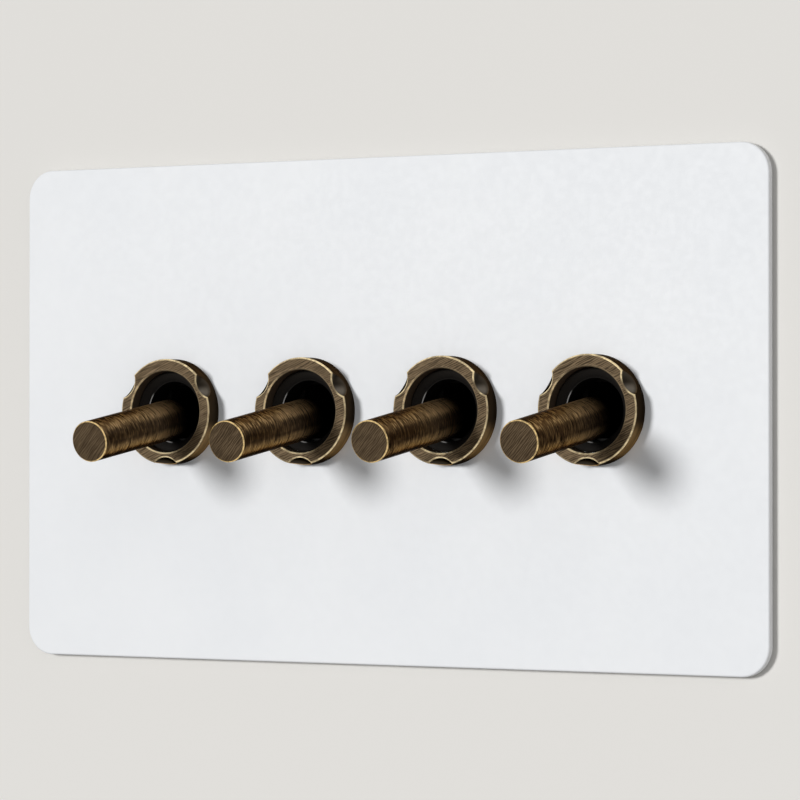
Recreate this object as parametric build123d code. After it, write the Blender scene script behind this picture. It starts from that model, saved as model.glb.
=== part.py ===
from build123d import *
import math
import os

# Four-gang toggle light switch, in millimetres.
# X runs to the right along the row of toggles, Y into the wall, Z up.
# The origin is the middle of the plate on the surface of the wall.

# Row of toggles
GANGS = 4
GANG_PITCH = 27.7

# Face plate and its gasket
PLATE_H = 86.0
PLATE_T = 1.2
PLATE_CORNER_R = 5.0
PLATE_EDGE_R = 0.3
PLATE_HOLE_CLEARANCE = 0.25
GASKET_T = 0.5
GASKET_INSET = 1.5
GASKET_BAND = 6.0

# Toggle lever and its pivot
LEVER_D = 7.0
LEVER_REACH = 33.2
LEVER_STEM = 8.0
LEVER_TIP_CHAMFER = 0.18
LEVER_TILT = 9.0
LEVER_CLEARANCE = 0.6
LEVER_SIDE_CLEARANCE = 0.2
PIVOT_DEPTH = 7.0
PIN_D = 2.0
PIN_RECESS = 1.0
RUNNING_CLEARANCE = 0.05

# Threaded neck, ring nut and lock nut
NECK_SETBACK = 1.9
NECK_WALL = 1.7
NECK_LEAD = 0.3
NECK_MOUTH = 1.1
NECK_RIM = 0.2
THREAD_CLEARANCE = 0.15
RING_LAND = 2.05
RING_H = 3.1
RING_CHAMFER = 0.18
SPIGOT_WALL = 0.8
SPIGOT_GAP = 0.1
NOTCHES = 3
NOTCH_R = 3.2
NOTCH_DEPTH = 1.3
NOTCH_LIFT = 0.74
LOCK_NUT_T = 2.0
LOCK_NUT_WALL = 2.5

# Yoke, its fixing screws and earth terminal
YOKE_T = 1.2
YOKE_BEND_R = 0.8
YOKE_FLANGE_D = 6.0
YOKE_END_MARGIN = 2.5
YOKE_SIDE_CLEARANCE = 0.6
EAR_H = 16.0
EAR_CORNER_R = 2.5
EAR_END = 5.2
FIXING_D = 3.5
FIXING_L = 25.0
FIXING_HEAD_D = 6.8
FIXING_HEAD_H = 1.8
FIXING_HEAD_TAPER = 0.4
FIXING_WAIST_D = 2.8
FIXING_WAIST_GAP = 0.6
FIXING_CLEARANCE = 0.25
FIXING_PLAY = 2.5
FIXING_GAP = 8.75
FIXING_INSET = 12.7
SLOT_W = 0.8
SLOT_DEPTH = 0.7
EARTH_H = 8.0
EARTH_D = 5.0
EARTH_DROP = 11.0
EARTH_GAP = 0.85
RIVET_D = 3.0

# Switch housing and case
CASE_W = 20.0
CASE_H = 34.0
CASE_CORNER = 0.8
CASE_WALL = 1.5
CASE_FLOOR = 3.0
HOUSING_D = 6.0
BARRIER_T = 1.2
BARRIER_H = 4.2
TONGUE_W = 8.0
TONGUE_T = 1.2
TONGUE_L = 5.0
TONGUE_ROOT = 4.0
CATCH_W = 4.6
CATCH_L = 1.9
CATCH_OUT = 0.9
CATCH_CLEARANCE = 0.2

# Plunger and spring
PLUNGER_D = 3.0
PLUNGER_L = 4.7
PLUNGER_OUT = 2.2
PLUNGER_NOSE_D = 1.4
PLUNGER_NOSE_L = 0.8
BORE_CLEARANCE = 0.08
BORE_END = 2.0
SPRING_WIRE = 0.4
SPRING_TURNS = 4
SPRING_SIDES = 8
SPRING_SEAT = 0.05

# Rocker contact
ROCKER_W = 5.0
ROCKER_T = 1.2
ROCKER_ARM = 9.0
ROCKER_TILT = 7.0
ROCKER_LIFT = 0.3
ROCKER_GAP = 0.25
FULCRUM_R = 0.75
FULCRUM_CLEARANCE = 0.1
CONTACT_Z = 7.5
CONTACT_L = 2.4
CONTACT_T = 0.5
CONTACT_GAP = 0.12

# Terminals and their binding screws
CONTACT_HEAD_L = 3.2
CONTACT_HEAD_T = 0.8
WEB_T = 1.2
WEB_CLEARANCE = 0.05
TAB_T = 1.0
TAB_W = 7.0
TAB_L = 7.6
SCREW_D = 3.0
SCREW_L = 2.6
SCREW_HEAD_D = 5.2
SCREW_HEAD_H = 1.6
SCREW_CLEARANCE = 0.05
POCKET_CLEARANCE = 0.3

# Stack of layers along Y, from the wall to the front and from the wall inwards
plate_back = -GASKET_T
plate_front = plate_back - PLATE_T
ring_front = plate_front - RING_H
neck_front = ring_front + NECK_SETBACK
bore_front = neck_front + NECK_MOUTH
yoke_front = plate_back + LOCK_NUT_T
yoke_back = yoke_front + YOKE_T
housing_back = yoke_back + HOUSING_D
pivot_y = plate_front + PIVOT_DEPTH

# The neck's bore lets the lever swing, and the parts around the neck follow its size
tilt = math.radians(LEVER_TILT)
lever_r = LEVER_D / 2


def lever_sweep(distance):
    """Half height that the tilted lever takes up at a distance from its pivot."""
    return distance * math.tan(tilt) + lever_r / math.cos(tilt)


neck_bore_r = lever_sweep(pivot_y - bore_front) + LEVER_CLEARANCE
neck_r = neck_bore_r + NECK_WALL
ring_bore_r = neck_r + THREAD_CLEARANCE
ring_r = ring_bore_r + RING_LAND
spigot_r = ring_bore_r + SPIGOT_WALL
lever_slot_w = LEVER_D + 2 * LEVER_SIDE_CLEARANCE
lever_slot_h = 2 * (lever_sweep(housing_back - pivot_y) + LEVER_CLEARANCE)

# Mechanism behind the pivot
plunger_tip = LEVER_STEM + PLUNGER_OUT
plunger_back = plunger_tip - PLUNGER_L
plunger_bore_r = PLUNGER_D / 2 + BORE_CLEARANCE
rocker_tilt = math.radians(ROCKER_TILT)
rocker_y = pivot_y + plunger_tip + ROCKER_GAP + ROCKER_T + ROCKER_LIFT
contact_reach = CONTACT_Z + CONTACT_L / 2
contact_y = (
    rocker_y
    + contact_reach * math.sin(rocker_tilt)
    + (CONTACT_T - ROCKER_LIFT) * math.cos(rocker_tilt)
    + CONTACT_GAP
)
floor_y = contact_y + CONTACT_HEAD_T
case_back = floor_y + CASE_FLOOR
tab_back = case_back + TAB_T

# Terminal screws stand clear of the webs that pass through the case's floor
screw_z = CONTACT_Z + WEB_T / 2 + SCREW_HEAD_D / 2 + SCREW_CLEARANCE
common_screw_x = ROCKER_W / 2 + SCREW_HEAD_D / 2 + SCREW_CLEARANCE
barrier_z = (CONTACT_Z - WEB_T / 2 + TAB_W / 2) / 2

# The plate is as wide as its row of cases, the fixing screws and the margins beside them
gang_xs = [(i - (GANGS - 1) / 2) * GANG_PITCH for i in range(GANGS)]
row_end = gang_xs[-1] + CASE_W / 2
fixing_x = row_end + FIXING_GAP
plate_w = 2 * (fixing_x + FIXING_INSET)
yoke_l = 2 * (row_end + YOKE_END_MARGIN)
yoke_h = CASE_H + 2 * (TONGUE_T + YOKE_SIDE_CLEARANCE + YOKE_T)
earth_w = GANG_PITCH - CASE_W - 2 * EARTH_GAP


def slab(outline, y_front, y_back):
    """Solid of an outline drawn in X and Z, between two depths."""
    return extrude(Plane.XZ.offset(-y_back) * outline, y_back - y_front)


def rod(radius, y_front, y_back):
    """Cylinder along Y."""
    return slab(Circle(radius), y_front, y_back)


def turned(*points):
    """Solid of revolution about Y from points of radius and depth."""
    return revolve(make_face(Polyline(*points, close=True)), Axis.Y)


def across(outline, width):
    """Solid of an outline drawn in Y and Z, centred on X."""
    return extrude(Plane.YZ * outline, width / 2, both=True)


def at_lever(part):
    """A part drawn along Y about the pivot, tilted as the lever rests."""
    return Pos(0, pivot_y, 0) * Rot(LEVER_TILT, 0, 0) * part


def slotted_screw(shank_r, shank_l, head_r, head_h, head_taper):
    """Screw pointing along +Y, with the underside of its head at Y = 0."""
    body = turned(
        (0, -head_h),
        (head_r - head_taper, -head_h),
        (head_r, 0),
        (shank_r, 0),
        (shank_r, shank_l),
        (0, shank_l),
    )
    return body - slab(Rectangle(2 * head_r, SLOT_W), -head_h, SLOT_DEPTH - head_h)


def make_face_plate():
    plate = slab(RectangleRounded(plate_w, PLATE_H, PLATE_CORNER_R), plate_front, plate_back)
    front_edges = plate.faces().sort_by(Axis.Y)[0].edges()
    plate = fillet(front_edges, PLATE_EDGE_R)
    hole = rod(spigot_r + PLATE_HOLE_CLEARANCE, plate_front, plate_back)
    return plate - [Pos(x, 0, 0) * hole for x in gang_xs]


def make_plate_gasket():
    width = plate_w - 2 * GASKET_INSET
    height = PLATE_H - 2 * GASKET_INSET
    outer = RectangleRounded(width, height, PLATE_CORNER_R - GASKET_INSET)
    inner = Rectangle(width - 2 * GASKET_BAND, height - 2 * GASKET_BAND)
    return slab(outer - inner, plate_back, 0)


def make_ring_nut():
    """Ring with scooped notches and bevelled front edges, on a threaded spigot through the plate."""
    ring = rod(ring_r, ring_front, plate_front) + rod(spigot_r, plate_front, plate_back - SPIGOT_GAP)
    ring -= rod(ring_bore_r, ring_front, plate_back)
    notch_centre = ring_r - NOTCH_DEPTH + NOTCH_R
    scoop = Pos(0, ring_front - NOTCH_LIFT, -notch_centre) * Sphere(math.hypot(NOTCH_R, NOTCH_LIFT))
    ring -= [Rot(0, 360 * i / NOTCHES, 0) * scoop for i in range(NOTCHES)]
    return chamfer(ring.faces().sort_by(Axis.Y)[0].edges(), RING_CHAMFER)


def make_lock_nut():
    outline = RegularPolygon(neck_r + LOCK_NUT_WALL, 6, major_radius=False)
    return slab(outline - Circle(neck_r + RUNNING_CLEARANCE), plate_back, yoke_front)


def channel_outline(depth_from, height, bend_r):
    """Section of the yoke's channel in Y and Z, with its front corners bent round."""
    depth = yoke_front + YOKE_FLANGE_D - depth_from
    outline = Pos(depth_from + depth / 2, 0) * Rectangle(depth, height)
    return fillet(outline.vertices().sort_by(Axis.X)[:2], bend_r)


def make_yoke():
    """Pressed channel with its flanges turned inwards, and a slotted ear at each end."""
    outside = channel_outline(yoke_front, yoke_h, YOKE_BEND_R + YOKE_T)
    inside = channel_outline(yoke_back, yoke_h - 2 * YOKE_T, YOKE_BEND_R)
    yoke = across(outside - inside, yoke_l)
    ears = RectangleRounded(2 * (fixing_x + EAR_END), EAR_H, EAR_CORNER_R)
    slot_w = FIXING_D + 2 * FIXING_CLEARANCE
    slots = [Pos(side * fixing_x, 0) * SlotOverall(slot_w + FIXING_PLAY, slot_w) for side in (-1, 1)]
    holes = [Pos(x, 0) * Circle(neck_r + THREAD_CLEARANCE) for x in gang_xs]
    yoke += slab(ears, yoke_front, yoke_back)
    yoke -= slab(Sketch() + slots + holes, yoke_front, yoke_back)
    return yoke - Pos(0, 0, -EARTH_DROP) * rod(RIVET_D / 2, yoke_front, yoke_back)


def make_fixing_screw():
    """Captive screw, waisted under its head where it passes through the yoke's ear."""
    shank_r = FIXING_D / 2
    waist_l = YOKE_T + FIXING_WAIST_GAP
    screw = slotted_screw(shank_r, FIXING_L, FIXING_HEAD_D / 2, FIXING_HEAD_H, FIXING_HEAD_TAPER)
    screw -= rod(shank_r, 0, waist_l) - rod(FIXING_WAIST_D / 2, 0, waist_l)
    return Pos(0, yoke_front, 0) * screw


def make_earth_terminal():
    """Block riveted through the yoke, tapped from behind."""
    block = slab(Rectangle(earth_w, EARTH_H), yoke_back, yoke_back + EARTH_D)
    block += rod(RIVET_D / 2, yoke_front, yoke_back)
    block -= rod(SCREW_D / 2 + SCREW_CLEARANCE, yoke_back + EARTH_D - SCREW_L, yoke_back + EARTH_D)
    return Pos(0, 0, -EARTH_DROP) * block


def make_binding_screw():
    """Cheese-head screw pointing to the front, with the underside of its head at Y = 0."""
    return Rot(0, 0, 180) * slotted_screw(
        SCREW_D / 2, SCREW_L - SCREW_CLEARANCE, SCREW_HEAD_D / 2, SCREW_HEAD_H, 0
    )


def case_outline():
    outline = Rectangle(CASE_W, CASE_H)
    return chamfer(outline.vertices(), CASE_CORNER)


def make_front_housing():
    """Threaded neck with a flared mouth, on a block that carries the pivot pin and closes the case."""
    mouth_r = neck_r - NECK_LEAD
    neck = turned(
        (0, neck_front),
        (mouth_r, neck_front),
        (neck_r, neck_front + NECK_LEAD),
        (neck_r, yoke_back),
        (0, yoke_back),
    )
    bore = turned(
        (0, neck_front),
        (mouth_r, neck_front),
        (neck_bore_r + NECK_RIM, bore_front),
        (neck_bore_r, bore_front),
        (neck_bore_r, yoke_back),
        (0, yoke_back),
    )
    housing = neck + slab(case_outline(), yoke_back, housing_back) - bore
    housing -= slab(Rectangle(lever_slot_w, lever_slot_h), yoke_back, housing_back)
    housing -= Pos(0, pivot_y, 0) * Rot(0, 90, 0) * Cylinder(PIN_D / 2, CASE_W)
    catch_y = housing_back - TONGUE_L / 2
    for side in (-1, 1):
        foot = side * CASE_H / 2
        ramp = Polygon(
            (catch_y - CATCH_L / 2, foot),
            (catch_y - CATCH_L / 2, foot + side * CATCH_OUT),
            (catch_y + CATCH_L / 2, foot),
            align=None,
        )
        housing += across(ramp, CATCH_W)
    return housing


def make_rear_case():
    """Moulded cup with slots and pockets in its floor, barriers and two snap tongues."""
    case = slab(case_outline(), housing_back, case_back)
    case -= slab(Rectangle(CASE_W - 2 * CASE_WALL, CASE_H - 2 * CASE_WALL), housing_back, floor_y)
    web_slot = Rectangle(ROCKER_W + 2 * WEB_CLEARANCE, WEB_T + 2 * WEB_CLEARANCE)
    common_slot = Rectangle(ROCKER_W + 2 * WEB_CLEARANCE, 2 * (FULCRUM_R + WEB_CLEARANCE))
    slots = common_slot + [Pos(0, side * CONTACT_Z) * web_slot for side in (-1, 1)]
    case -= slab(slots, floor_y, case_back)
    pocket = Rectangle(SCREW_D + 2 * POCKET_CLEARANCE, SCREW_D + 2 * POCKET_CLEARANCE)
    pockets = [Pos(x, z) * pocket for x, z in screw_places()]
    case -= slab(Sketch() + pockets, tab_back - SCREW_L, case_back)
    barrier = Rectangle(CASE_W, BARRIER_T)
    barriers = [Pos(0, side * barrier_z) * barrier for side in (-1, 1)]
    case += slab(Sketch() + barriers, case_back, case_back + BARRIER_H)
    tongue_z = (CASE_H + TONGUE_T) / 2
    window_l = CATCH_L + 2 * CATCH_CLEARANCE
    window_y = housing_back - TONGUE_L / 2
    for side in (-1, 1):
        tongue = slab(Rectangle(TONGUE_W, TONGUE_T), housing_back - TONGUE_L, housing_back + TONGUE_ROOT)
        tongue -= slab(
            Rectangle(CATCH_W + 2 * CATCH_CLEARANCE, TONGUE_T),
            window_y - window_l / 2,
            window_y + window_l / 2,
        )
        case += Pos(0, 0, side * tongue_z) * tongue
    return case


def screw_places():
    """X and Z of the common, upper and lower terminal screws of one gang."""
    return [(common_screw_x, 0), (0, screw_z), (0, -screw_z)]


def drilled(tab, x, z):
    """Terminal with the tapped hole for its screw."""
    return tab - Pos(x, 0, z) * rod(SCREW_D / 2 + SCREW_CLEARANCE, case_back, tab_back)


def make_common_terminal():
    """Tab behind the case, with a web that ends in the rocker's rounded fulcrum."""
    nose = Pos(rocker_y, 0) * Circle(FULCRUM_R)
    web_l = case_back - rocker_y
    web = Pos(rocker_y + web_l / 2, 0) * Rectangle(web_l, 2 * FULCRUM_R)
    tab_w = common_screw_x + ROCKER_W / 2 + TAB_W / 2
    tab = Pos((tab_w - ROCKER_W) / 2, 0) * Rectangle(tab_w, TAB_W)
    terminal = across(nose + web, ROCKER_W) + slab(tab, case_back, tab_back)
    return drilled(terminal, common_screw_x, 0)


def make_outer_terminal(side):
    """Upper or lower terminal: a fixed contact, a web through the floor and a tab behind it."""
    head_z = side * CONTACT_Z
    terminal = slab(Pos(0, head_z) * Rectangle(ROCKER_W, CONTACT_HEAD_L), contact_y, floor_y)
    terminal += slab(Pos(0, head_z) * Rectangle(ROCKER_W, WEB_T), floor_y, case_back)
    tab_z = head_z + side * (TAB_L - WEB_T) / 2
    terminal += slab(Pos(0, tab_z) * Rectangle(TAB_W, TAB_L), case_back, tab_back)
    return drilled(terminal, 0, side * screw_z)


def make_toggle_lever():
    """Turned rod with a bevelled tip, a cross hole for its pin and a bore for the plunger."""
    lever = turned(
        (0, -LEVER_REACH),
        (lever_r - LEVER_TIP_CHAMFER, -LEVER_REACH),
        (lever_r, -LEVER_REACH + LEVER_TIP_CHAMFER),
        (lever_r, LEVER_STEM),
        (plunger_bore_r, LEVER_STEM),
        (plunger_bore_r, BORE_END),
        (0, BORE_END),
    )
    lever -= Rot(0, 90, 0) * Cylinder(PIN_D / 2 + RUNNING_CLEARANCE, LEVER_D)
    return at_lever(lever)


def make_plunger():
    nose_r = PLUNGER_NOSE_D / 2
    return at_lever(
        turned(
            (0, plunger_back),
            (PLUNGER_D / 2, plunger_back),
            (PLUNGER_D / 2, plunger_tip - PLUNGER_NOSE_L),
            (nose_r, plunger_tip),
            (0, plunger_tip),
        )
    )


def make_plunger_spring():
    """Coil of square wire, in straight runs, between the bore's end and the plunger."""
    coil_r = PLUNGER_D / 2 - SPRING_WIRE
    start = BORE_END + SPRING_SEAT + SPRING_WIRE
    length = plunger_back - SPRING_SEAT - SPRING_WIRE - start
    steps = SPRING_TURNS * SPRING_SIDES
    points = []
    for i in range(steps + 1):
        angle = 2 * math.pi * i / SPRING_SIDES
        points.append((coil_r * math.cos(angle), start + length * i / steps, coil_r * math.sin(angle)))
    path = Polyline(*points)
    wire = Plane(path @ 0, z_dir=path % 0) * Rectangle(SPRING_WIRE, SPRING_WIRE)
    return at_lever(sweep(wire, path=path, transition=Transition.RIGHT))


def make_rocker_contact():
    """Bar with a saddle on the fulcrum and a contact at each end, tipped as it rests."""
    bar = Pos(-ROCKER_LIFT - ROCKER_T / 2, 0) * Rectangle(ROCKER_T, 2 * ROCKER_ARM)
    contact = Rectangle(CONTACT_T, CONTACT_L)
    contacts = [Pos(CONTACT_T / 2 - ROCKER_LIFT, side * CONTACT_Z) * contact for side in (-1, 1)]
    outline = bar + contacts - Circle(FULCRUM_R + FULCRUM_CLEARANCE)
    return Pos(0, rocker_y, 0) * Rot(-ROCKER_TILT, 0, 0) * across(outline, ROCKER_W)


def make_pivot_pin():
    return Pos(0, pivot_y, 0) * Rot(0, 90, 0) * Cylinder(PIN_D / 2, CASE_W - 2 * PIN_RECESS)


def at_gangs(part):
    """One copy of a part at each gang, as separate solids."""
    return Compound(children=[Pos(x, 0, 0) * part for x in gang_xs])


def make_terminal_screws():
    screw = Pos(0, tab_back, 0) * make_binding_screw()
    places = [(x + gang_x, z) for gang_x in gang_xs for x, z in screw_places()]
    return Compound(children=[Pos(x, 0, z) * screw for x, z in places])


def make_fixing_screws():
    return Compound(children=[Pos(side * fixing_x, 0, 0) * make_fixing_screw() for side in (-1, 1)])


def make_earth_screw():
    return Pos(0, yoke_back + EARTH_D, -EARTH_DROP) * make_binding_screw()


shared_parts = {
    "face_plate": make_face_plate(),
    "plate_gasket": make_plate_gasket(),
    "yoke": make_yoke(),
    "fixing_screws": make_fixing_screws(),
    "earth_terminal": make_earth_terminal(),
    "earth_screw": make_earth_screw(),
    "lock_nuts": at_gangs(make_lock_nut()),
    "pivot_pins": at_gangs(make_pivot_pin()),
    "terminal_screws": make_terminal_screws(),
}

gang_parts = {
    "ring_nut": make_ring_nut(),
    "front_housing": make_front_housing(),
    "toggle_lever": make_toggle_lever(),
    "plunger": make_plunger(),
    "plunger_spring": make_plunger_spring(),
    "rocker_contact": make_rocker_contact(),
    "rear_case": make_rear_case(),
    "common_terminal": make_common_terminal(),
    "upper_terminal": make_outer_terminal(1),
    "lower_terminal": make_outer_terminal(-1),
}

os.makedirs("parts", exist_ok=True)
for name, part in shared_parts.items():
    export_step(part, f"parts/{name}.step")
for name, part in gang_parts.items():
    for number, x in enumerate(gang_xs, start=1):
        export_step(Pos(x, 0, 0) * part, f"parts/{name}_{number}.step")
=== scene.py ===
import math
import bpy
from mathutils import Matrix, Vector


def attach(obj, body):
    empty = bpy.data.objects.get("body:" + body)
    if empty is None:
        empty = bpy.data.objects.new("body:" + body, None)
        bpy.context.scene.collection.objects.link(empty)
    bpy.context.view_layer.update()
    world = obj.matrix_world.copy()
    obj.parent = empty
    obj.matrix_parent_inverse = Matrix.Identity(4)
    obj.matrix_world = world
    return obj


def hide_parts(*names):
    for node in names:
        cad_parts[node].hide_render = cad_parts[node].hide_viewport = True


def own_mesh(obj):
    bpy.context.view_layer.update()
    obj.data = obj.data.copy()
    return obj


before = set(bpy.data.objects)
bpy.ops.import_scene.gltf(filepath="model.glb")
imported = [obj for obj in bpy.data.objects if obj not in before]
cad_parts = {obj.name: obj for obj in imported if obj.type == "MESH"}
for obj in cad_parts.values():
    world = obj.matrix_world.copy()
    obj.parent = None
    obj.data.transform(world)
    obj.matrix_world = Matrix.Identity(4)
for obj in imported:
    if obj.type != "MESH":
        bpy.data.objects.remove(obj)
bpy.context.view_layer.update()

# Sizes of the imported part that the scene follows, in metres
GANGS = 4
GANG_PITCH = 0.0277
PIVOT_Y = 0.0053
RING_FRONT_Y = -0.0048
NECK_RIM_Y = -0.0018
LEVER_TILT = math.radians(9.0)

# Radii between which a ring's marks fade in, from the first to the second
OUTER_SIDE = (0.0085, 0.0089)
BORE_SIDE = (0.0073, 0.0072)
OUTER_RIM = (0.00884, 0.00900)
INNER_RIM = (0.00744, 0.00728)
OUTER_HALF = (0.0078, 0.0084)
INNER_HALF = (0.0084, 0.0078)
SCOOP_FROM = (0.0074, 0.0077)
SCOOP_TO = (0.00912, 0.00900)
SCOOP_DEPTH = (0.0081, 0.0091)

# Plunger springs, wound as their solids are, but of round wire
SPRING_WIRE = 0.0004
SPRING_COIL_R = 0.0011
SPRING_TURNS = 4
SPRING_STEPS = 24

# Brush strokes on the rings' faces and the levers' tips, and turned lines round the levers
RING_STROKES = math.radians(24.0)
TIP_STROKES = math.radians(47.0)
STROKE_PITCH = 0.00034
TURNING_PITCH = 0.00062
STROKE_LENGTH_SCALE = 320.0
STROKE_DRIFT_SCALE = 1400.0
STROKE_GRAIN_SCALE = 7200.0
LINE_DRIFT = 14.0
GANG_SEED = 900.0

# Camera, as the photograph was taken
CAMERA_PLACE = Vector((0.3515, -0.5824, -0.00504))
CAMERA_AIM = Vector((0.004236, -0.0017, 0.001822))
CAMERA_LENS = 180.54
CAMERA_SENSOR = 36.0

# Light: a broad key lamp from the upper left, one from behind, and a dim room that glows on the right
KEY_DIRECTION = Vector((0.460, 1.0, -0.210))
KEY_STRENGTH = 2.25
BACK_DIRECTION = Vector((0.45, -1.0, -0.60))
BACK_STRENGTH = 1.0
LAMP_SPREAD = math.radians(15.5)
ROOM_STRENGTH = 0.21
GLOW_DIRECTION = Vector((0.86, -0.48, 0.10))
GLOW_START = 0.30
GLOW_STRENGTH = 0.63
BACKGROUND = (0.745, 0.730, 0.701)

# Wall behind the switch, with an opening a little smaller than the gasket
WALL_HALF = 0.15
WALL_BEHIND = 0.00003
OPENING_INSET = 0.0004
OPENING_CORNER = 0.0032
CORNER_STEPS = 6

# Paint of the plate and of the wall, with painted shade on the plate's cut edges
PLATE_WHITE_DIM = (0.798, 0.814, 0.834)
PLATE_WHITE = (0.818, 0.832, 0.848)
EDGE_SHADE_WHITE = (0.700, 0.706, 0.714)
WALL_GREY_DIM = (0.780, 0.765, 0.734)
WALL_GREY = (0.786, 0.771, 0.740)

# Antique bronze, from dark patina to worn gold, with colours for painted shade, reflections and highlights
LEVER_SHADE_BLACK = (0.003, 0.0025, 0.002)
DARK_PATINA = (0.018, 0.0135, 0.0088)
SIDE_PATINA = (0.050, 0.0365, 0.0240)
BROWN_PATINA = (0.031, 0.0222, 0.0132)
TIP_PATINA = (0.030, 0.0200, 0.0117)
TIP_BRONZE = (0.095, 0.0675, 0.0405)
WARM_BRONZE = (0.118, 0.085, 0.0515)
BORE_BRONZE = (0.120, 0.086, 0.060)
FLANK_BRONZE = (0.064, 0.0425, 0.0268)
FLANK_ROOT_BRONZE = (0.088, 0.0570, 0.0338)
BAND_REFLECTION_BRONZE = (0.165, 0.106, 0.058)
WEAR_AND_REFLECTION_BRONZE = (0.60, 0.395, 0.195)
SCOOP_PATINA = (0.020, 0.0160, 0.0112)
SCOOP_BRONZE = (0.050, 0.041, 0.031)
SCOOP_PAINTED_HIGHLIGHT = (0.150, 0.130, 0.106)
WORN_GOLD = (1.000, 0.820, 0.500)
TIP_GOLD = (0.950, 0.700, 0.330)
GRAZING_TINT = (0.14, 0.122, 0.100)

# Black moulding of the necks, with painted shade down the mouth and painted glints on the rim
MOUTH_SHADE_BLACK = (0.0035, 0.0031, 0.0028)
NECK_BLACK = (0.0165, 0.0145, 0.0130)
GRAIN_BLACK = (0.020, 0.018, 0.016)
GLINT_GREY = (0.20, 0.195, 0.19)


class Surface:
    """One material: a Principled shader and short forms for the nodes that feed it."""

    def __init__(self, name):
        self.material = bpy.data.materials.new(name)
        self.material.use_nodes = True
        self.tree = self.material.node_tree
        self.tree.nodes.clear()
        self.output = self.add("ShaderNodeOutputMaterial")
        self.shader = self.add("ShaderNodeBsdfPrincipled")
        self.link(self.shader.outputs[0], self.output.inputs["Surface"])
        coordinates = self.add("ShaderNodeTexCoord")
        self.point = coordinates.outputs["Object"]
        self.normal = coordinates.outputs["Normal"]

    def add(self, kind, **settings):
        node = self.tree.nodes.new(kind)
        for key, value in settings.items():
            setattr(node, key, value)
        return node

    def link(self, source, target):
        self.tree.links.new(source, target)

    def feed(self, socket, value):
        """Sets a socket to a number or colour, or links it to another node's output."""
        if isinstance(value, bpy.types.NodeSocket):
            self.link(value, socket)
        elif isinstance(value, tuple) and socket.type == "RGBA":
            socket.default_value = (*value, 1.0)
        else:
            socket.default_value = value

    def set(self, name, value):
        self.feed(self.shader.inputs[name], value)

    def math(self, operation, *values):
        node = self.add("ShaderNodeMath", operation=operation)
        for socket, value in zip(node.inputs, values):
            self.feed(socket, value)
        return node.outputs[0]

    def times(self, first, *others):
        """Product of all the values."""
        for value in others:
            first = self.math("MULTIPLY", first, value)
        return first

    def plus(self, first, *others):
        """Sum of all the values."""
        for value in others:
            first = self.math("ADD", first, value)
        return first

    def minus(self, first, second):
        return self.math("SUBTRACT", first, second)

    def most(self, first, second):
        return self.math("MAXIMUM", first, second)

    def vector(self, x, y, z):
        node = self.add("ShaderNodeCombineXYZ")
        for socket, value in zip(node.inputs, (x, y, z)):
            self.feed(socket, value)
        return node.outputs[0]

    def parts(self, vector):
        node = self.add("ShaderNodeSeparateXYZ")
        self.link(vector, node.inputs[0])
        return node.outputs[0], node.outputs[1], node.outputs[2]

    def step(self, value, low, high, to_low=0.0, to_high=1.0):
        """Smooth step of a value between two bounds."""
        node = self.add("ShaderNodeMapRange", interpolation_type="SMOOTHSTEP")
        for socket, number in zip(node.inputs, (value, low, high, to_low, to_high)):
            self.feed(socket, number)
        return node.outputs[0]

    def noise(self, vector, scale, detail=2.0, roughness=0.5):
        node = self.add("ShaderNodeTexNoise")
        self.link(vector, node.inputs["Vector"])
        node.inputs["Scale"].default_value = scale
        node.inputs["Detail"].default_value = detail
        node.inputs["Roughness"].default_value = roughness
        return node.outputs[0]

    def blend(self, share, low, high):
        """Colour that goes from low to high with a share of 0 to 1."""
        node = self.add("ShaderNodeMix", data_type="RGBA")
        self.feed(node.inputs["Factor"], share)
        self.feed(node.inputs["A"], low)
        self.feed(node.inputs["B"], high)
        return node.outputs["Result"]

    def bump(self, height, strength, distance):
        node = self.add("ShaderNodeBump")
        node.inputs["Strength"].default_value = strength
        node.inputs["Distance"].default_value = distance
        self.link(height, node.inputs["Height"])
        self.link(node.outputs[0], self.shader.inputs["Normal"])

    def place(self):
        """X, Y and Z in the part's own frame."""
        return self.parts(self.point)

    def facing(self):
        """X, Y and Z of the surface's own normal."""
        return self.parts(self.normal)

    def gang_x(self, x):
        """X from the middle of the gang that a point belongs to."""
        wrapped = self.math("WRAP", x, 0.0, GANG_PITCH)
        return self.minus(wrapped, GANG_PITCH / 2)

    def gang_seed(self, x, u):
        """Number that differs from gang to gang, so that no two are marked alike."""
        return self.times(self.minus(x, u), GANG_SEED)

    def radius(self, u, z):
        """Distance from the middle line of a gang's ring."""
        return self.math("SQRT", self.plus(self.times(u, u), self.times(z, z)))

    def lines(self, distance, pitch, drift):
        """Even lines with a pitch along a distance, from 0 to 1, that a drift pushes about."""
        phase = self.times(distance, 2 * math.pi / pitch)
        phase = self.plus(phase, self.times(drift, LINE_DRIFT))
        return self.plus(self.times(self.math("SINE", phase), 0.5), 0.5)

    def strokes(self, u, v, seed, angle, pitch):
        """Straight brush strokes at an angle in the plane of u and v, from 0 to 1."""
        cos_a, sin_a = math.cos(angle), math.sin(angle)
        along = self.plus(self.times(u, cos_a), self.times(v, sin_a))
        across = self.minus(self.times(v, cos_a), self.times(u, sin_a))
        length = self.times(along, STROKE_LENGTH_SCALE)
        wander = self.vector(length, self.times(across, STROKE_DRIFT_SCALE), seed)
        bristle = self.vector(length, self.times(across, STROKE_GRAIN_SCALE), seed)
        grain = self.noise(bristle, 1.0, 3.0, 0.65)
        lines = self.lines(across, pitch, self.noise(wander, 1.0))
        return self.plus(self.times(grain, 0.66), self.times(lines, 0.18), 0.08)


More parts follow.
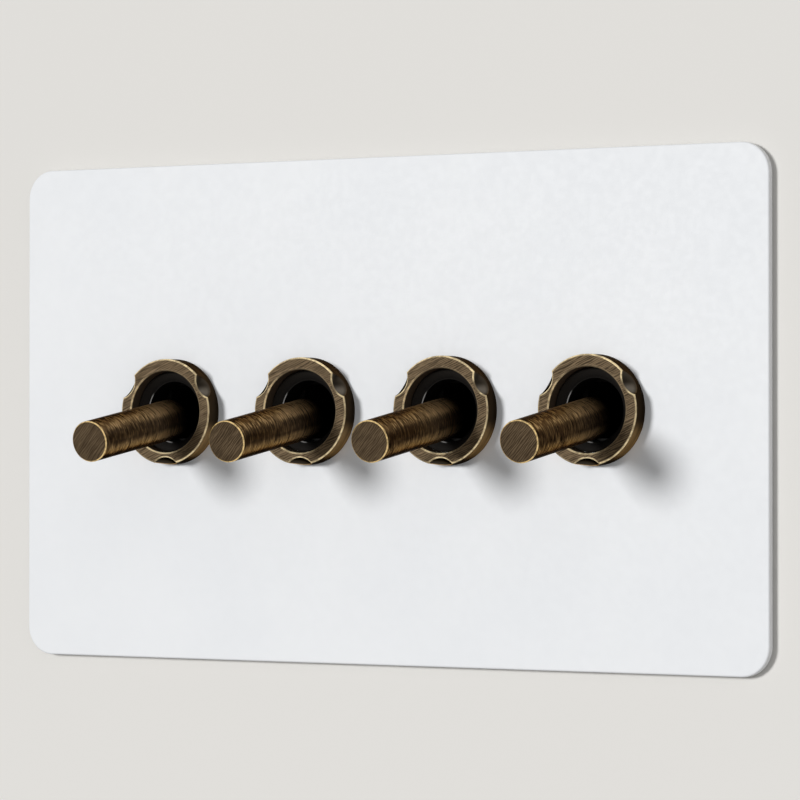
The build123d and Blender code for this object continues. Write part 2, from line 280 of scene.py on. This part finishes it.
def white_paint():
    """Matt white paint with a faint orange peel, greyer on the cut edges of the sheet as painted shade."""
    s = Surface("white_plate_paint")
    cloud = s.step(s.noise(s.point, 40.0, 3.0), 0.3, 0.7)
    white = s.blend(cloud, PLATE_WHITE_DIM, PLATE_WHITE)
    _, n_y, _ = s.facing()
    # Faces turned sideways take a greyer white: painted shade on the plate's edges.
    edge = s.step(s.math("ABSOLUTE", n_y), 0.50, 0.15)
    s.set("Base Color", s.blend(edge, white, EDGE_SHADE_WHITE))
    s.set("Roughness", s.step(s.noise(s.point, 900.0, 2.0), 0.2, 0.8, 0.46, 0.56))
    s.set("Specular IOR Level", 0.35)
    s.bump(s.noise(s.point, 2600.0, 2.0), 0.05, 0.00004)
    return s.material


def worn_edge(s, scale, gold):
    """Colour of an edge that is rubbed through to bright gold, more in some places than in others."""
    gold_share = s.step(s.noise(s.point, scale, 3.0, 0.7), 0.36, 0.58, 0.40, 1.0)
    return s.blend(gold_share, WARM_BRONZE, gold)


def ring_front(s, y, n_y):
    """Shares of a ring's flat face and of the bevels at its edges."""
    forward = s.times(n_y, -1.0)
    near_front = s.step(y, RING_FRONT_Y + 0.00050, RING_FRONT_Y + 0.00032)
    face = s.times(s.step(forward, 0.90, 0.99), near_front)
    bevel = s.times(s.step(forward, 0.35, 0.55), s.step(forward, 0.97, 0.88), near_front)
    return face, bevel


def ring_side(s, radius, n_z, in_bore, turned):
    """Colour of a ring's sides: lighter below and a little above as painted reflection, and lighter in the
    bore as painted light.
    """
    # Lower and upper sides made lighter by the way they face: painted reflection, broken up by the turned
    # marks.
    low = s.times(s.step(n_z, -0.15, -0.60), s.step(n_z, -0.94, -0.74))
    high = s.step(n_z, 0.30, 0.85, 0.0, 0.14)
    outside = s.step(radius, *OUTER_SIDE)
    rubbed = s.times(s.plus(low, high), outside, s.step(turned, 0.30, 0.62, 0.25, 1.0))
    # The bore takes a lighter bronze than the outside: painted light.
    return s.blend(rubbed, s.blend(in_bore, SIDE_PATINA, BORE_BRONZE), WEAR_AND_REFLECTION_BRONZE)


def ring_scoop(s, u, z, radius):
    """Colour of a ring's scoops: dark, with a painted highlight low in the one on the right."""
    bowl = s.blend(s.step(radius, *SCOOP_DEPTH), SCOOP_PATINA, SCOOP_BRONZE)
    # Lighter patch low in the right-hand scoop: painted highlight.
    painted_highlight = s.times(
        s.step(u, 0.0062, 0.0074),
        s.step(z, 0.0047, 0.0034),
        s.step(radius, 0.00905, 0.00860, 0.25, 1.0),
    )
    return s.blend(painted_highlight, bowl, SCOOP_PAINTED_HIGHLIGHT)


def ring_wear_and_highlights(s, u, z, radius):
    """Share of gold on a ring's bevels, set by angle round the ring as painted highlights, and how much of
    that spreads to the rims of its face as a wider painted highlight.
    """
    # Outer bevel: more gold at the top and right, less level with the middle; inner bevel: more at the left
    # and bottom. These are painted highlights.
    slanted = s.step(s.math("ABSOLUTE", z), 0.0012, 0.0042)
    outer = s.most(s.step(u, -0.003, 0.001, 0.35, 1.0), s.step(z, -0.003, 0.001, 0.35, 1.0))
    outer = s.times(outer, s.step(slanted, 0.0, 1.0, 0.62, 1.0))
    inner = s.step(s.plus(u, s.times(z, 0.6)), 0.001, -0.004, 0.10, 1.0)
    at_outside = s.step(radius, *OUTER_HALF)
    gold_share = s.plus(s.times(outer, at_outside), s.times(inner, s.minus(1.0, at_outside)))
    # On the right, above and below the middle, the gold spreads onto the face's rim as a painted highlight.
    corner = s.times(slanted, s.step(u, 0.0005, 0.0035))
    return gold_share, s.step(corner, 0.0, 1.0, 0.30, 0.75)


def ring_bronze():
    """Antiqued ring: slanted strokes on its face, gold bevels worn at random and placed as painted
    highlights, turned sides with painted reflections, dark in the scoops with one painted highlight.
    """
    s = Surface("ring_antique_bronze")
    x, y, z = s.place()
    u = s.gang_x(x)
    radius = s.radius(u, z)
    _, n_y, n_z = s.facing()
    front, bevel = ring_front(s, y, n_y)
    in_bore = s.step(radius, *BORE_SIDE, 0.0, 0.75)
    in_scoop = s.times(s.step(radius, *SCOOP_TO), s.step(radius, *SCOOP_FROM))
    in_scoop = s.times(in_scoop, s.minus(1.0, s.most(front, bevel)))
    fine = s.strokes(u, z, s.gang_seed(x, u), RING_STROKES, STROKE_PITCH)
    turned = s.vector(s.times(u, 90.0), s.times(y, 3400.0), s.times(z, 90.0))
    turned = s.noise(turned, 1.0, 3.0, 0.6)
    side = ring_side(s, radius, n_z, in_bore, turned)
    side = s.blend(in_scoop, side, ring_scoop(s, u, z, radius))
    gold_share, spread = ring_wear_and_highlights(s, u, z, radius)
    # Bevel gold: painted highlights by angle, times random wear from worn_edge.
    gold = s.blend(gold_share, WARM_BRONZE, worn_edge(s, 900.0, WORN_GOLD))
    rim = s.most(s.step(radius, *OUTER_RIM), s.step(radius, *INNER_RIM))
    face = s.blend(s.step(fine, 0.40, 0.60), BROWN_PATINA, WARM_BRONZE)
    face = s.blend(s.times(rim, spread), face, gold)
    s.set("Base Color", s.blend(bevel, s.blend(front, side, face), gold))
    dull = s.most(s.times(bevel, s.step(radius, *INNER_HALF, 0.25, 0.65)), in_bore)
    s.set("Metallic", s.minus(1.0, dull))
    s.set("Specular Tint", GRAZING_TINT)
    brushed = s.step(fine, 0.2, 0.8, 0.24, 0.16)
    plain = s.step(in_scoop, 0.0, 1.0, 0.42, 0.30)
    s.set("Roughness", s.plus(plain, s.times(front, brushed)))
    s.bump(s.plus(s.times(fine, front), s.times(turned, 0.6)), 0.35, 0.00003)
    return s.material


def lever_axes(s, y, z):
    """Y and Z turned into a resting lever's own axes: outwards along it, and up across it."""
    cos_t, sin_t = math.cos(LEVER_TILT), math.sin(LEVER_TILT)
    along = s.plus(s.times(y, -cos_t), s.times(z, -sin_t))
    up = s.minus(s.times(z, cos_t), s.times(y, sin_t))
    return along, up


def lever_hair(s, u, along, up, seed):
    """Fine bright lines turned round a lever."""
    turns = s.minus(s.times(along, 2700.0), seed)
    hair = s.noise(s.vector(s.times(u, 650.0), s.times(up, 650.0), turns), 1.0, 1.0, 0.6)
    drift = s.noise(s.vector(s.times(u, 220.0), s.times(up, 220.0), s.times(along, 500.0)), 1.0)
    return s.plus(hair, s.times(s.lines(along, TURNING_PITCH, drift), 0.14))


def lever_side(s, along, n_up, hair, scratch):
    """Colour of a lever's side: painted reflections make it brighter above and below and towards its root,
    and painted shade makes it black down the neck.
    """
    # Bands above and below, lighter by the way they face: painted reflections.
    above = s.times(s.step(n_up, 0.34, 0.64), s.step(n_up, 0.99, 0.80, 0.55, 1.0))
    below = s.times(s.step(n_up, -0.14, -0.52), s.step(n_up, -0.76, -0.56))
    # Lighter towards the root: painted light.
    root = s.step(along, 0.0250, 0.0125, 0.0, 0.80)
    # Black where the lever runs down into the neck: painted shade.
    shade_in_neck = s.step(along, 0.0118, 0.0078)
    # Colour of the painted reflection bands, lighter towards the root.
    worn = s.blend(root, BAND_REFLECTION_BRONZE, WEAR_AND_REFLECTION_BRONZE)
    flank = s.blend(root, FLANK_BRONZE, FLANK_ROOT_BRONZE)
    side = s.blend(s.most(above, s.times(below, 0.5)), flank, worn)
    side = s.blend(s.times(below, s.step(root, 0.0, 0.8, 0.37, 0.66)), side, WEAR_AND_REFLECTION_BRONZE)
    # Turned hair lines show brighter inside the painted reflection bands.
    rubbed = s.plus(0.16, s.times(s.plus(above, below), 0.60))
    side = s.blend(s.times(s.step(hair, 0.59, 0.68), rubbed), side, WEAR_AND_REFLECTION_BRONZE)
    side = s.blend(s.step(scratch, 0.48, 0.39, 0.0, 0.8), side, DARK_PATINA)
    return s.blend(shade_in_neck, side, LEVER_SHADE_BLACK)


def lever_bronze():
    """Antiqued lever: turned scratches round its sides, painted reflections lighter above and below
    and towards the root, painted shade down the neck, a brushed tip and a worn gold edge."""
    s = Surface("lever_antique_bronze")
    x, y, z = s.place()
    u = s.gang_x(x)
    seed = s.gang_seed(x, u)
    along, up = lever_axes(s, s.minus(y, PIVOT_Y), z)
    _, n_y, n_z = s.facing()
    end_on, n_up = lever_axes(s, n_y, n_z)
    tip = s.step(end_on, 0.90, 0.99)
    bevel = s.times(s.step(end_on, 0.35, 0.55), s.step(end_on, 0.97, 0.88))
    turns = s.plus(s.times(along, 3600.0), seed)
    scratch = s.noise(s.vector(s.times(u, 330.0), s.times(up, 330.0), turns), 1.0, 2.0, 0.6)
    side = lever_side(s, along, n_up, lever_hair(s, u, along, up, seed), scratch)
    fine = s.strokes(u, up, seed, TIP_STROKES, STROKE_PITCH)
    face = s.blend(s.step(fine, 0.34, 0.68), TIP_PATINA, TIP_BRONZE)
    s.set("Base Color", s.blend(bevel, s.blend(tip, side, face), worn_edge(s, 1600.0, TIP_GOLD)))
    s.set("Metallic", 1.0)
    s.set("Specular Tint", GRAZING_TINT)
    s.set("Roughness", s.step(scratch, 0.2, 0.8, 0.46, 0.32))
    s.bump(s.plus(s.times(fine, tip), scratch), 0.35, 0.00003)
    return s.material


def neck_glints(s, u, y, z, n_y):
    """Shares of a neck's inner rim, and of the two places on it that carry painted glints."""
    rim = s.times(
        s.step(n_y, -0.90, -0.98),
        s.step(y, NECK_RIM_Y - 0.0003, NECK_RIM_Y - 0.0001),
        s.step(y, NECK_RIM_Y + 0.0003, NECK_RIM_Y + 0.0001),
    )
    # Two short places on the rim, at the left and below, painted light grey: painted glints.
    left = s.times(s.step(u, -0.0042, -0.0047), s.step(z, 0.0008, 0.0014))
    under = s.times(s.step(z, -0.0044, -0.0048), s.step(u, -0.0002, -0.0008))
    return rim, s.times(rim, s.plus(left, under))


def neck_moulding():
    """Dull black plastic of the necks, with painted shade down the mouth and two painted glints on the rim.
    """
    s = Surface("neck_black_moulding")
    x, y, z = s.place()
    u = s.gang_x(x)
    _, n_y, _ = s.facing()
    rim, rubbed = neck_glints(s, u, y, z, n_y)
    grain = s.noise(s.point, 3200.0, 2.0)
    # Darker towards the middle, down the mouth: painted shade.
    black = s.blend(s.step(s.radius(u, z), 0.0050, 0.0066), MOUTH_SHADE_BLACK, NECK_BLACK)
    black = s.blend(s.step(grain, 0.3, 0.8, 0.0, 0.3), black, GRAIN_BLACK)
    s.set("Base Color", s.blend(rubbed, black, GLINT_GREY))
    s.set("Specular IOR Level", 0.08)
    s.set("Roughness", s.plus(s.step(grain, 0.2, 0.8, 0.55, 0.70), s.times(rim, 0.30)))
    s.bump(grain, 0.12, 0.00003)
    return s.material


def case_moulding():
    """Satin black plastic of the rear cases with a spark-eroded grain."""
    s = Surface("case_black_moulding")
    grain = s.noise(s.point, 3200.0, 2.0)
    mottle = s.step(s.noise(s.point, 300.0), 0.3, 0.7)
    s.set("Base Color", s.blend(mottle, (0.0120, 0.0115, 0.0112), (0.0175, 0.0168, 0.0162)))
    s.set("Specular IOR Level", 0.4)
    s.set("Roughness", s.step(grain, 0.2, 0.8, 0.40, 0.54))
    s.bump(grain, 0.20, 0.00003)
    return s.material


def zinc_steel():
    """Zinc plated pressed steel with a soft spangle and faint rolling lines."""
    s = Surface("zinc_plated_steel")
    x, y, z = s.place()
    spangle = s.noise(s.point, 420.0, 3.0)
    rolled = s.vector(s.times(x, 120.0), s.times(y, 2600.0), s.times(z, 2600.0))
    s.set("Base Color", s.blend(s.step(spangle, 0.3, 0.7), (0.47, 0.48, 0.49), (0.62, 0.63, 0.63)))
    s.set("Metallic", 1.0)
    s.set("Roughness", s.step(spangle, 0.25, 0.75, 0.42, 0.30))
    s.bump(s.noise(rolled, 1.0, 2.0), 0.15, 0.00002)
    return s.material


def terminal_brass():
    """Stamped brass, a little tarnished."""
    s = Surface("stamped_brass")
    tarnish = s.step(s.noise(s.point, 380.0, 4.0, 0.6), 0.35, 0.70)
    s.set("Base Color", s.blend(tarnish, (0.72, 0.52, 0.22), (0.50, 0.34, 0.14)))
    s.set("Metallic", 1.0)
    s.set("Roughness", s.step(s.noise(s.point, 1400.0), 0.2, 0.8, 0.26, 0.42))
    s.bump(s.noise(s.point, 3000.0), 0.10, 0.00002)
    return s.material


def nylon():
    """Natural nylon, faintly cloudy."""
    s = Surface("natural_nylon")
    cloud = s.step(s.noise(s.point, 500.0, 3.0), 0.3, 0.7)
    s.set("Base Color", s.blend(cloud, (0.74, 0.70, 0.58), (0.80, 0.77, 0.68)))
    s.set("Roughness", s.step(s.noise(s.point, 2500.0), 0.2, 0.8, 0.38, 0.50))
    s.bump(s.noise(s.point, 4000.0), 0.08, 0.00002)
    return s.material


def spring_steel():
    """Bright drawn wire with fine draw marks."""
    s = Surface("drawn_spring_steel")
    drawn = s.noise(s.point, 5200.0, 3.0)
    s.set("Base Color", s.blend(s.step(drawn, 0.3, 0.7), (0.34, 0.34, 0.35), (0.50, 0.50, 0.51)))
    s.set("Metallic", 1.0)
    s.set("Roughness", s.step(drawn, 0.2, 0.8, 0.24, 0.36))
    s.bump(drawn, 0.10, 0.00002)
    return s.material


def gasket_foam():
    """Closed-cell black foam."""
    s = Surface("black_foam")
    cells = s.add("ShaderNodeTexVoronoi")
    s.link(s.point, cells.inputs["Vector"])
    cells.inputs["Scale"].default_value = 3200.0
    depth = cells.outputs["Distance"]
    s.set("Base Color", s.blend(s.step(depth, 0.1, 0.6), (0.040, 0.040, 0.041), (0.018, 0.018, 0.018)))
    s.set("Roughness", s.step(depth, 0.1, 0.7, 0.75, 0.92))
    s.bump(depth, 0.4, 0.00008)
    return s.material


def wall_paint():
    """Plain warm grey wall that is see-through from behind, so that the back of the switch shows."""
    s = Surface("plain_wall")
    cloud = s.step(s.noise(s.point, 6.0), 0.3, 0.7)
    s.set("Base Color", s.blend(cloud, WALL_GREY_DIM, WALL_GREY))
    s.set("Roughness", 0.9)
    s.set("Specular IOR Level", 0.1)
    geometry = s.add("ShaderNodeNewGeometry")
    clear = s.add("ShaderNodeBsdfTransparent")
    mixed = s.add("ShaderNodeMixShader")
    s.link(geometry.outputs["Backfacing"], mixed.inputs[0])
    s.link(s.shader.outputs[0], mixed.inputs[1])
    s.link(clear.outputs[0], mixed.inputs[2])
    s.link(mixed.outputs[0], s.output.inputs["Surface"])
    return s.material


def dress_nodes():
    """Gives every CAD node the material of its kind, apart from the springs, which are replaced."""
    steel, brass = zinc_steel(), terminal_brass()
    by_kind = {
        "face_plate": white_paint(),
        "plate_gasket": gasket_foam(),
        "yoke": steel,
        "fixing_screws": steel,
        "lock_nuts": steel,
        "pivot_pins": steel,
        "earth_screw": steel,
        "terminal_screws": steel,
        "earth_terminal": brass,
        "common_terminal": brass,
        "upper_terminal": brass,
        "lower_terminal": brass,
        "rocker_contact": brass,
        "ring_nut": ring_bronze(),
        "toggle_lever": lever_bronze(),
        "front_housing": neck_moulding(),
        "rear_case": case_moulding(),
        "plunger": nylon(),
    }
    for name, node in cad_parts.items():
        kind = name.rstrip("0123456789").rstrip("_")
        if kind in by_kind:
            node.data.materials.clear()
            node.data.materials.append(by_kind[kind])


def coil_mesh(name, centre_x, start, end):
    """Helix of round wire along a lever's axis, between two distances behind its pivot."""
    curve = bpy.data.curves.new(name, "CURVE")
    curve.dimensions = "3D"
    curve.bevel_depth = SPRING_WIRE / 2
    curve.bevel_resolution = 3
    curve.use_fill_caps = True
    steps = SPRING_TURNS * SPRING_STEPS
    spline = curve.splines.new("POLY")
    spline.points.add(steps)
    for i, point in enumerate(spline.points):
        angle = 2 * math.pi * i / SPRING_STEPS
        inward = start + (end - start) * i / steps
        up = SPRING_COIL_R * math.sin(angle)
        x = centre_x + SPRING_COIL_R * math.cos(angle)
        y = PIVOT_Y + inward * math.cos(LEVER_TILT) - up * math.sin(LEVER_TILT)
        z = inward * math.sin(LEVER_TILT) + up * math.cos(LEVER_TILT)
        point.co = (x, y, z, 1.0)
    holder = bpy.data.objects.new(name, curve)
    mesh = bpy.data.meshes.new_from_object(holder)
    bpy.data.objects.remove(holder)
    mesh.shade_smooth()
    return mesh


def make_springs():
    """Round-wire springs in place of the plain coils, each carried with its toggle."""
    finish = spring_steel()
    axis = Vector((0.0, math.cos(LEVER_TILT), math.sin(LEVER_TILT)))
    pivot = Vector((0.0, PIVOT_Y, 0.0))
    for gang in range(1, GANGS + 1):
        name = f"coil_spring_{gang}"
        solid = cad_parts[f"plunger_spring_{gang}"].data.vertices
        reach = [(corner.co - pivot).dot(axis) for corner in solid]
        start, end = min(reach), max(reach)
        centre_x = (gang - (GANGS + 1) / 2) * GANG_PITCH
        mesh = coil_mesh(name, centre_x, start + SPRING_WIRE / 2, end - SPRING_WIRE / 2)
        mesh.materials.clear()
        mesh.materials.append(finish)
        spring = bpy.data.objects.new(name, mesh)
        bpy.context.scene.collection.objects.link(spring)
        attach(spring, f"toggle_{gang}")
        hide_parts(f"plunger_spring_{gang}")
        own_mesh(spring)


def rounded_outline(half_width, half_height, corner):
    """Points of a rectangle with rounded corners in X and Z, from its lower right."""
    points = []
    for quarter, (side_x, side_z) in enumerate(((1, -1), (1, 1), (-1, 1), (-1, -1))):
        for step in range(CORNER_STEPS + 1):
            angle = math.radians(90.0 * (quarter - 1 + step / CORNER_STEPS))
            x = side_x * (half_width - corner) + corner * math.cos(angle)
            z = side_z * (half_height - corner) + corner * math.sin(angle)
            points.append((x, 0.0, z))
    return points


def make_wall():
    """Backdrop in the plane of the wall, facing the room, open behind the gasket of the plate."""
    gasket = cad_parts["plate_gasket"].data.vertices
    half_width = max(corner.co.x for corner in gasket) - OPENING_INSET
    half_height = max(corner.co.z for corner in gasket) - OPENING_INSET
    outer = rounded_outline(WALL_HALF, WALL_HALF, OPENING_CORNER)
    inner = rounded_outline(half_width, half_height, OPENING_CORNER)
    n = len(outer)
    faces = [(i, (i + 1) % n, n + (i + 1) % n, n + i) for i in range(n)]
    mesh = bpy.data.meshes.new("wall")
    mesh.from_pydata(outer + inner, [], faces)
    mesh.materials.append(wall_paint())
    wall = bpy.data.objects.new("wall", mesh)
    wall.location = (0, WALL_BEHIND, 0)
    bpy.context.scene.collection.objects.link(wall)


def make_camera():
    data = bpy.data.cameras.new("camera")
    data.lens = CAMERA_LENS
    data.sensor_width = CAMERA_SENSOR
    data.clip_start = 0.01
    data.clip_end = 20.0
    camera = bpy.data.objects.new("camera", data)
    camera.location = CAMERA_PLACE
    camera.rotation_mode = "QUATERNION"
    camera.rotation_quaternion = (CAMERA_AIM - CAMERA_PLACE).to_track_quat("-Z", "Y")
    bpy.context.scene.collection.objects.link(camera)
    bpy.context.scene.camera = camera


def make_lamp(name, direction, strength):
    """Broad lamp far away that shines in a direction."""
    data = bpy.data.lights.new(name, "SUN")
    data.energy = strength
    data.angle = LAMP_SPREAD
    lamp = bpy.data.objects.new(name, data)
    lamp.rotation_mode = "QUATERNION"
    lamp.rotation_quaternion = direction.to_track_quat("-Z", "Y")
    bpy.context.scene.collection.objects.link(lamp)


def room_light(tree):
    """Dim light from all round that rises to a glow in one direction."""
    coordinates = tree.nodes.new("ShaderNodeTexCoord")
    towards = tree.nodes.new("ShaderNodeVectorMath")
    towards.operation = "DOT_PRODUCT"
    towards.inputs[1].default_value = GLOW_DIRECTION.normalized()
    tree.links.new(coordinates.outputs["Generated"], towards.inputs[0])
    glow = tree.nodes.new("ShaderNodeMapRange")
    glow.interpolation_type = "SMOOTHSTEP"
    glow.inputs["From Min"].default_value = GLOW_START
    glow.inputs["To Min"].default_value = ROOM_STRENGTH
    glow.inputs["To Max"].default_value = ROOM_STRENGTH + GLOW_STRENGTH
    tree.links.new(towards.outputs["Value"], glow.inputs["Value"])
    light = tree.nodes.new("ShaderNodeBackground")
    tree.links.new(glow.outputs[0], light.inputs["Strength"])
    return light.outputs[0]


def seen_rays(tree):
    """1 for the rays that show the background: straight from the camera, mirrored or through glass."""
    path = tree.nodes.new("ShaderNodeLightPath")
    seen = path.outputs["Is Camera Ray"]
    for kind in ("Is Glossy Ray", "Is Transmission Ray"):
        either = tree.nodes.new("ShaderNodeMath")
        either.operation = "MAXIMUM"
        tree.links.new(seen, either.inputs[0])
        tree.links.new(path.outputs[kind], either.inputs[1])
        seen = either.outputs[0]
    return seen


def make_room():
    """World that lights the part as a room does and shows a plain pale background."""
    world = bpy.data.worlds.new("room")
    bpy.context.scene.world = world
    world.use_nodes = True
    tree = world.node_tree
    tree.nodes.clear()
    plain = tree.nodes.new("ShaderNodeBackground")
    plain.inputs["Color"].default_value = (*BACKGROUND, 1.0)
    mixed = tree.nodes.new("ShaderNodeMixShader")
    tree.links.new(seen_rays(tree), mixed.inputs[0])
    tree.links.new(room_light(tree), mixed.inputs[1])
    tree.links.new(plain.outputs[0], mixed.inputs[2])
    output = tree.nodes.new("ShaderNodeOutputWorld")
    tree.links.new(mixed.outputs[0], output.inputs["Surface"])


dress_nodes()
make_springs()
make_wall()
make_camera()
make_lamp("key_lamp", KEY_DIRECTION, KEY_STRENGTH)
make_lamp("back_lamp", BACK_DIRECTION, BACK_STRENGTH)
make_room()
bpy.context.scene.view_settings.view_transform = "Standard"
